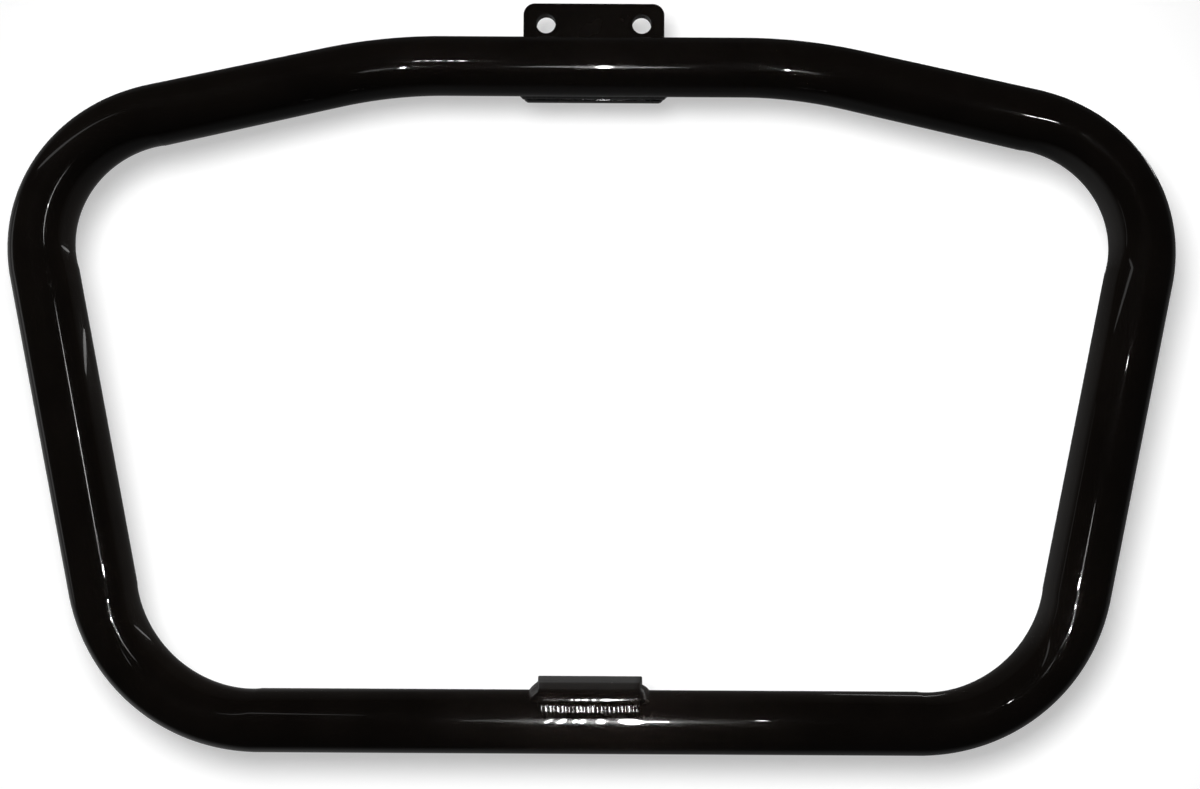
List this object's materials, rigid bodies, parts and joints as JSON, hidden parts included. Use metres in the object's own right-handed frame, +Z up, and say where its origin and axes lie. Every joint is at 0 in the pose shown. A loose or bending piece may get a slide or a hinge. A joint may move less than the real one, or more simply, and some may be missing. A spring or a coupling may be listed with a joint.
{
  "type": "motorcycle crash bars",
  "caption": "Closed loop of bent round tube with a drilled plate at the top and a hooked saddle plate at the bottom, all gloss black.",
  "frame": {"origin": "middle of the two bolt holes, on the back face of the upper plate", "axes": "+X from side to side, to the right as seen from the front; +Y back to the motorcycle, out of the plate's back face; +Z up"},
  "size_m": [0.7306, 0.0864, 0.4986],
  "materials": {
    "tube_paint": "gloss black",
    "plate_paint": "gloss black",
    "weld_paint": "gloss black over weld ripples"
  },
  "bodies": {
    "root": {"guard_loop": "tube_paint", "upper_plate": "plate_paint", "plate_weld_over": "weld_paint", "plate_weld_under": "weld_paint", "lower_saddle": "plate_paint", "saddle_weld_front": "weld_paint", "saddle_weld_rear": "weld_paint", "saddle_weld_left": "weld_paint", "saddle_weld_right": "weld_paint"}
  },
  "joints": []
}
